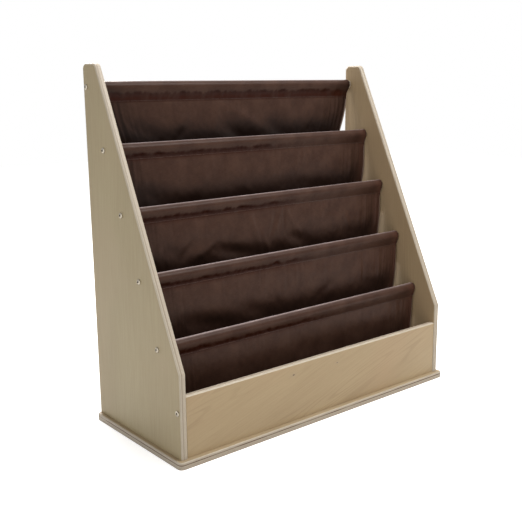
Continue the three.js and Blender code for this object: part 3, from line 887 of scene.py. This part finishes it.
def wallLift(number, x, down, left):
    below = np.clip(down, 0, None)
    hangs = smooth(below / wall["start"]) * smooth(left / wall["end"])
    patches = noiseAcross(x, wall["gatherPatch"], seedOf(number, "gatherPatches"))
    gathers = noiseOver(x, below, *wall["gathers"], seedOf(number, "gathers"))
    fineGathers = noiseOver(x, below, *wall["fineGathers"], seedOf(number, "fineGathers"))
    gathers += wall["fineShare"] * fineGathers
    fading = np.exp(-below / wall["gatherFade"])
    lift = wall["gather"] * varied(patches, *wall["gatherVaries"]) * fading * gathers * hangs
    lift += foldLift(number, x, down) * (down > 0) * smooth(left / wall["foldEnd"])
    waves = noiseAcross(x, wall["bellyWave"], seedOf(number, "belly"))
    if number < rodCount:
        belly = wall["belly"] * varied(waves, *wall["bellyVaries"])
        lift -= belly * bell(down - wall["bellyDown"], wall["bellyWidth"])
    fromEnd = clothHalf - np.abs(x)
    wrinkles = noiseOver(x, below, *wall["endWrinkles"], seedOf(number, "endWrinkles"))
    lift += wall["endWrinkle"] * wrinkles * bell(fromEnd, wall["endWrinkleReach"]) * hangs
    curled = smooth((down - wall["curlFrom"]) / wall["curlRun"])
    lift += wall["curl"] * bell(fromEnd, wall["curlWidth"]) * curled * hangs
    return lift


# The casing tucks in between its rod and its stitching, in puckers under a ragged band of painted shade,
# and it carries a painted highlight along the top

casingRelief = {
    "puckers": (30 * mm, 90 * mm),
    "finePuckers": (12 * mm, 40 * mm),
    "fineShare": 0.5,
    "fadeRun": 220 * mm,
    "endGap": 9 * mm,  # from the right edge, where only puckersAtEnd is left
    "endRun": 45 * mm,
    "tuck": 2.0 * mm,
    "tuckVaries": (0.8, 0.75, 0.1, 1.5),  # mean, spread, least and most
    "tuckFrom": 10 * mm,  # below the rod's middle
    "tuckFall": 12 * mm,
    "tuckRagged": 0.2,
    "tuckTo": 34 * mm,
    "tuckPast": 3 * mm,  # at most this far below the stitching
    "tuckRise": 7 * mm,
    "roomShare": 0.7,  # of the cloth's distance from its rod
    "strokes": (8 * mm, 60 * mm),
    "strokeSlant": 0.7,
    # The band of painted shade over the puckers
    "bandVaries": (0.95, 0.3, 0.1, 0.25),  # mean, spreads of the puckers and the strokes, and least
    "bandFrom": 0.32,  # share of the stitching's depth
    "bandRise": 6 * mm,
    "bandRagged": 3.5 * mm,
    "bandFall": 5 * mm,
    # The painted highlight along the top of the rod
    "highlightAt": 2 * mm,  # in front of the top of the rod
    "highlightWidth": 4.6 * mm,
    "highlightVaries": (0.85, 0.12, 0.5, 1.0),
    "highlightLoss": 0.6,  # share of the painted highlight that fades out towards the right
    "lossFrom": -198.5 * mm,
    "lossRun": 840 * mm,
    "seamDip": 0.5 * mm,
    "seamWidth": 2.4 * mm,
    "hangsFrom": 4 * mm,
    "hangsRun": 12 * mm,
}


# How strong the puckers stay across the cloth
def puckersKept(number, x):
    stay, atEnd = ofSling(number, "puckersStay"), ofSling(number, "puckersAtEnd")
    fading = smooth((x - ofSling(number, "puckersFade")) / casingRelief["fadeRun"])
    ending = smooth((clothHalf - x - casingRelief["endGap"]) / casingRelief["endRun"])
    return (1 - (1 - stay) * fading) * (atEnd + (1 - atEnd) * ending)


# How far each point of the cloth stands out, and the painted shade and highlights that its shader reads.
# run is its place down the cloth, and room its distance from its rod.
def clothRelief(number, x, run, room, backRun, seamRun, endRun):
    down, left = run - seamRun, endRun - run
    lift = wallLift(number, x, down, left)
    skirt = stitchDepth(number)
    below = down + skirt  # below the rod's middle
    fromTop = run - (backRun + seamRun) / 2
    values = casingRelief
    puckers = noiseOver(x, down, *values["puckers"], seedOf(number, "puckers"))
    finePuckers = noiseOver(x, down, *values["finePuckers"], seedOf(number, "finePuckers"))
    puckers += values["fineShare"] * finePuckers
    kept = puckersKept(number, x)

    tuck = kept * ((fromTop > 0) & (down <= 0)) * varied(puckers, *values["tuckVaries"])
    tuck *= smooth((below - values["tuckFrom"]) / values["tuckFall"] + values["tuckRagged"] * puckers)
    tuckTo = min(skirt + values["tuckPast"], values["tuckTo"])
    tuck *= smooth((tuckTo - below) / values["tuckRise"])
    lift -= np.minimum(values["tuck"] * tuck, values["roomShare"] * room)
    for seam in (backRun, seamRun):
        lift -= values["seamDip"] * bell(run - seam, values["seamWidth"])

    slanted = x + values["strokeSlant"] * down
    strokes = noiseOver(slanted, down, *values["strokes"], seedOf(number, "strokes"))
    # Painted shade: a ragged dark band over the puckers, down to just past the stitching
    mean, byPuckers, byStrokes, least = values["bandVaries"]
    tuckShadeBand = kept * (fromTop > 0) * np.clip(mean + byPuckers * puckers + byStrokes * strokes, least, 1)
    ragged = below + values["bandRagged"] * (puckers + strokes)
    tuckShadeBand *= smooth((ragged - values["bandFrom"] * skirt) / values["bandRise"])
    tuckShadeBand *= smooth((skirt + ofSling(number, "bandPast") - below) / values["bandFall"])

    # Painted highlight: a pale line along the top of the rod, fading towards the right
    paintedHighlight = varied(puckers, *values["highlightVaries"])
    paintedHighlight *= bell(fromTop - values["highlightAt"], values["highlightWidth"])
    loss = values["highlightLoss"] * smooth((x - values["lossFrom"]) / values["lossRun"])
    paintedHighlight *= ofSling(number, "paintedHighlight") * (1 - loss)
    hangs = smooth((down - values["hangsFrom"]) / values["hangsRun"])
    return lift, {"paintedTuckBand": tuckShadeBand, "paintedHighlight": paintedHighlight, "hanging": hangs}


# The hanging part starts in slow waves, and then hangs by simulation
def hangingGrid(number, rows, halves, runs):
    grid = spread(rows, halves, sling["columns"] + 1)
    down = (runs - runs[0])[:, None] + 0 * grid[..., 0]
    free = smooth(np.minimum(down, down.max() - down) / hanging["waveEnd"])
    slanted = grid[..., 0] + hanging["waveSlant"] * down
    wave = noiseOver(slanted, down, hanging["waveWidth"], hanging["waveRun"], seedOf(number, "wave"))
    grid += normalsOf(grid) * (hanging["startWave"] * free * wave)[..., None]
    return hangPocket(number, grid, runs)


# Two sides, with thicker hems at the side edges
def thicken(piece, x):
    hem = piece.vertex_groups.new(name="hem")
    edge = (np.abs(x) > clothHalf - sling["hemWidth"]).ravel()
    hem.add(np.nonzero(edge)[0].tolist(), 1.0, "REPLACE")
    body = piece.modifiers.new("cloth thickness", "SOLIDIFY")
    body.thickness = sling["hemThickness"]
    body.offset = 0
    body.vertex_group = hem.name
    body.thickness_vertex_group = sling["thickness"] / sling["hemThickness"]


def makeSling(number, thread):
    name = f"sling_{number}_cloth"
    sewn, backSeam, falling, tail = slingPath(number)
    frontSeam = len(sewn) - 1
    endRow = frontSeam + len(falling) - 1
    rows = np.concatenate([sewn, falling[1:], tail])
    runs = runAlong(rows)
    seamRun, endRun = runs[frontSeam], runs[endRow]
    half = clothHalf - sideDraw(number, rows[:, 1], runs, seamRun, endRun)
    fallHalf, fallRuns = half[frontSeam:endRow + 1], runs[frontSeam:endRow + 1]
    middle = refinedHanging(hangingGrid(number, falling, fallHalf, fallRuns))

    # All rows at the fine spacing, with their places on the flat cloth
    fineCount = middle.shape[1]
    top = spread(sewn, half[:frontSeam + 1], fineCount)
    end = spread(tail, half[endRow + 1:], fineCount)
    fine = np.concatenate([top, middle[1:], end])
    middleRuns = refined(fallRuns[:, None])[1:, 0]
    fineRuns = np.concatenate([runs[:frontSeam + 1], middleRuns, runs[endRow + 1:]])
    uv = np.empty((*fine.shape[:2], 2))
    uv[..., 0] = clothHalf * np.linspace(-1, 1, fineCount)
    uv[..., 1] = fineRuns[:, None]
    rodY, rodZ, rodRadius = rodLine(f"rod_{number}")
    fromRod = np.hypot(fine[..., 1] - rodY, fine[..., 2] - rodZ)
    room = np.clip(fromRod - rodRadius - sling["standOff"] - sling["thickness"] / 2, 0, None)
    lift, tones = clothRelief(number, uv[..., 0], uv[..., 1], room, runs[backSeam], seamRun, endRun)
    fine = fine + normalsOf(fine) * lift[..., None]

    piece = gridMesh(name, fine, uv)
    piece.data.materials.append(slingCloth(number))
    for tone, values in tones.items():
        layer = piece.data.attributes.new(tone, "FLOAT", "POINT")
        layer.data.foreach_set("value", values.astype(np.float32).ravel())
    thicken(piece, uv[..., 0])
    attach(piece, "root")
    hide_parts(f"sling_{number}")

    stitches = stitchRow(f"sling_{number}_stitching", fine[frontSeam], normalsOf(fine)[frontSeam], thread)
    print(name, "flat", round(2 * clothHalf, 4), "by", round(float(runs[-1]), 4))


stitch = {
    "length": 2.9 * mm,
    "pitch": 3.9 * mm,
    "radius": 0.35 * mm,
    "sides": 6,
    # each ring's place along the stitch, and its height and width in shares of the radius
    "rings": [(0.0, -0.6, 0.45), (0.2, 0.5, 1.0), (0.5, 0.9, 1.0), (0.8, 0.5, 1.0), (1.0, -0.6, 0.45)],
}


# A row of stitches along a line of points: each is a short thread that dips in at its ends
def stitchRow(name, line, normals, material):
    runs = runAlong(line)
    starts = np.arange(sling["hemWidth"], runs[-1] - sling["hemWidth"], stitch["pitch"])
    shares, lifts, widths = np.array(stitch["rings"]).T
    heights = sling["thickness"] / 2 + lifts * stitch["radius"]
    sides, ringCount = stitch["sides"], len(shares)
    vertices, faces = [], []
    for start in starts:
        base = len(vertices)
        places = start + shares * stitch["length"]
        middle = np.column_stack([np.interp(places, runs, line[:, k]) for k in range(3)])
        outward = np.column_stack([np.interp(places, runs, normals[:, k]) for k in range(3)])
        along = (middle[-1] - middle[0]) / np.linalg.norm(middle[-1] - middle[0])
        for ring, point in enumerate(middle):
            across = np.cross(along, outward[ring])
            for turn in np.arange(sides) * 2 * math.pi / sides:
                offset = math.cos(turn) * across + math.sin(turn) * outward[ring]
                centre = point + outward[ring] * heights[ring]
                vertices.append(centre + widths[ring] * stitch["radius"] * offset)
        faces.append([base + k for k in range(sides - 1, -1, -1)])
        faces.append([base + (ringCount - 1) * sides + k for k in range(sides)])
        for low in range(base, base + (ringCount - 1) * sides, sides):
            faces += [[low + k, low + (k + 1) % sides, low + sides + (k + 1) % sides, low + sides + k]
                      for k in range(sides)]
    mesh = bpy.data.meshes.new(name)
    mesh.from_pydata([tuple(v) for v in vertices], [], faces)
    mesh.shade_smooth()
    mesh.materials.append(material)
    piece = addObject(name, mesh)
    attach(piece, "root")
    return piece


def makeSlings():
    thread = threadMaterial()
    for number in range(1, rodCount + 1):
        makeSling(number, thread)


makeSlings()
print("slings hung and stitched")


# Studio: a white floor and background, a soft lamp high at the front right, and weaker ones at the
# left, above and behind

studio = {
    "floorSize": 14.0,
    "floorFinish": {"Base Color": colour(212, 210, 206), "Roughness": 0.9, "Specular IOR Level": 0.1,
                    "Emission Color": (1, 1, 1, 1)},
    "floorGlow": 0.62,
    "clearFrom": 0.42,  # distances from the middle between which the floor turns plain white
    "clearAt": 0.66,
    "worldLight": 0.22,
    "worldColour": (1.0, 0.99, 0.97, 1.0),
    # name: place, size, watts and tint
    "lamps": {
        "key": ((1.4, -1.8, 3.3), 1.3, 119.0, (1.0, 0.99, 0.97)),
        "left": ((-3.0, -1.3, 1.5), 2.4, 38.0, (0.98, 0.99, 1.0)),
        "above": ((0.25, 1.1, 3.0), 1.2, 70.0, (1.0, 0.98, 0.99)),
        "behind": ((0.6, 2.4, 1.9), 0.9, 60.0, (1.0, 0.98, 0.99)),
    },
    "aim": (0.0, 0.0, 0.45),
}


# White where the camera, a gloss or glass looks at it, and plain light for everything else
def seenDirectly(tree):
    path = tree.nodes.new("ShaderNodeLightPath").outputs
    seen = calculate(tree, "MAXIMUM", path["Is Camera Ray"], path["Is Glossy Ray"])
    return calculate(tree, "MAXIMUM", seen, path["Is Transmission Ray"])


def lightWorld():
    world = bpy.data.worlds.new("studio")
    bpy.context.scene.world = world
    world.use_nodes = True
    tree = world.node_tree
    tree.nodes.clear()
    light = addNode(tree, "ShaderNodeBackground",
                    {"Color": studio["worldColour"], "Strength": studio["worldLight"]})
    white = addNode(tree, "ShaderNodeBackground", {"Color": (1, 1, 1, 1), "Strength": 1.0})
    mixed = addNode(tree, "ShaderNodeMixShader", {0: seenDirectly(tree), 1: light, 2: white})
    output = tree.nodes.new("ShaderNodeOutputWorld")
    tree.links.new(mixed, output.inputs["Surface"])


def layFloor():
    half = studio["floorSize"] / 2
    mesh = bpy.data.meshes.new("floor")
    corners = [(-half, -half, 0), (half, -half, 0), (half, half, 0), (-half, half, 0)]
    mesh.from_pydata(corners, [], [(0, 1, 2, 3)])
    floor = addObject("floor", mesh)
    material, tree, shader = startMaterial("white floor")
    away = distanceOf(tree, coordinate(tree, "Object"))
    clear = ramp(tree, away, studio["clearFrom"], studio["clearAt"], studio["floorGlow"], 1.0)
    glow = times(tree, seenDirectly(tree), clear)
    setInputs(tree, shader, {**studio["floorFinish"], "Emission Strength": glow})
    mesh.materials.append(material)


def hangLamps():
    for name, (place, size, watts, tint) in studio["lamps"].items():
        lamp = bpy.data.lights.new(name, "AREA")
        lamp.shape = "SQUARE"
        lamp.size = size
        lamp.energy = watts
        lamp.color = tint
        holder = addObject(name, lamp)
        holder.location = place
        holder.visible_camera = False
        away = Vector(studio["aim"]) - Vector(place)
        holder.rotation_euler = away.to_track_quat("-Z", "Y").to_euler()


lightWorld()
layFloor()
hangLamps()
bpy.context.scene.view_settings.view_transform = "Standard"
print("studio lit")
